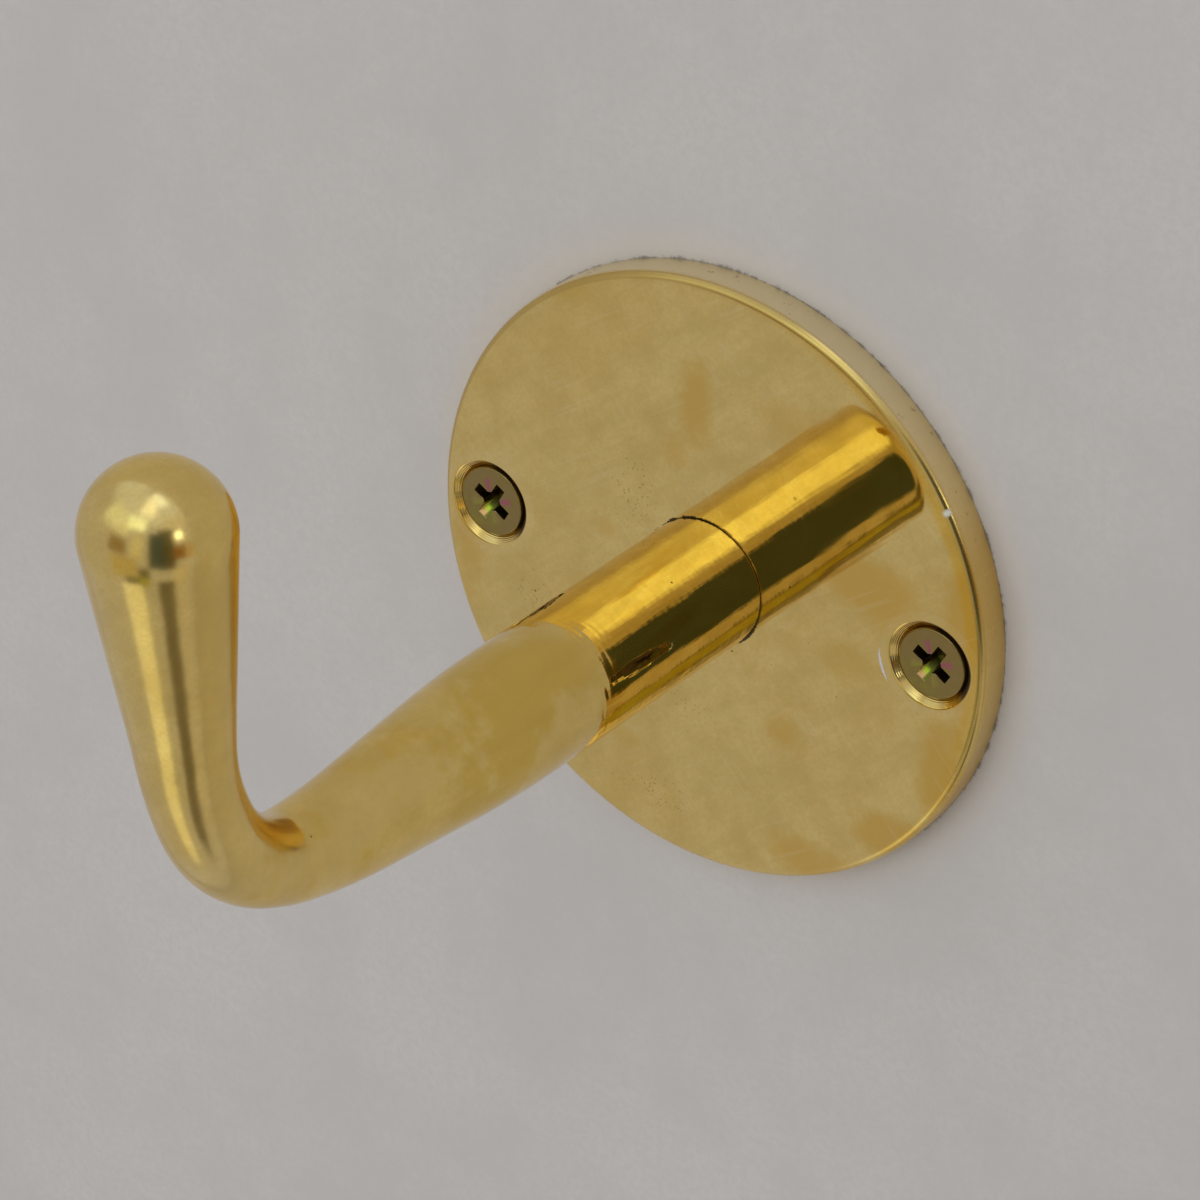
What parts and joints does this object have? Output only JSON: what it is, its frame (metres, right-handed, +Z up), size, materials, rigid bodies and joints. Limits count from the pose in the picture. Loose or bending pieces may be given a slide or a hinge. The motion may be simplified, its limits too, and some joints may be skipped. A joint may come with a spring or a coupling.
{
  "type": "coat hook",
  "caption": "Round wall plate with a straight round arm that tapers, bends upwards and swells to a rounded end, fixed by countersunk wood screws.",
  "frame": {"origin": "centre of the round plate's back face, in the plane of the wall", "axes": "+Z up, -Y out of the wall along the arm, +X to the right as seen from the room"},
  "size_m": [0.06, 0.116, 0.0741],
  "materials": {
    "brass": "polished, unlacquered, with faint cloudy tarnish",
    "zinc_steel": "yellow zinc plated, iridescent"
  },
  "bodies": {
    "root": {"back_plate": "brass", "hook_arm": "brass", "arm_screw": "zinc_steel", "wall_screws": "zinc_steel"}
  },
  "joints": []
}
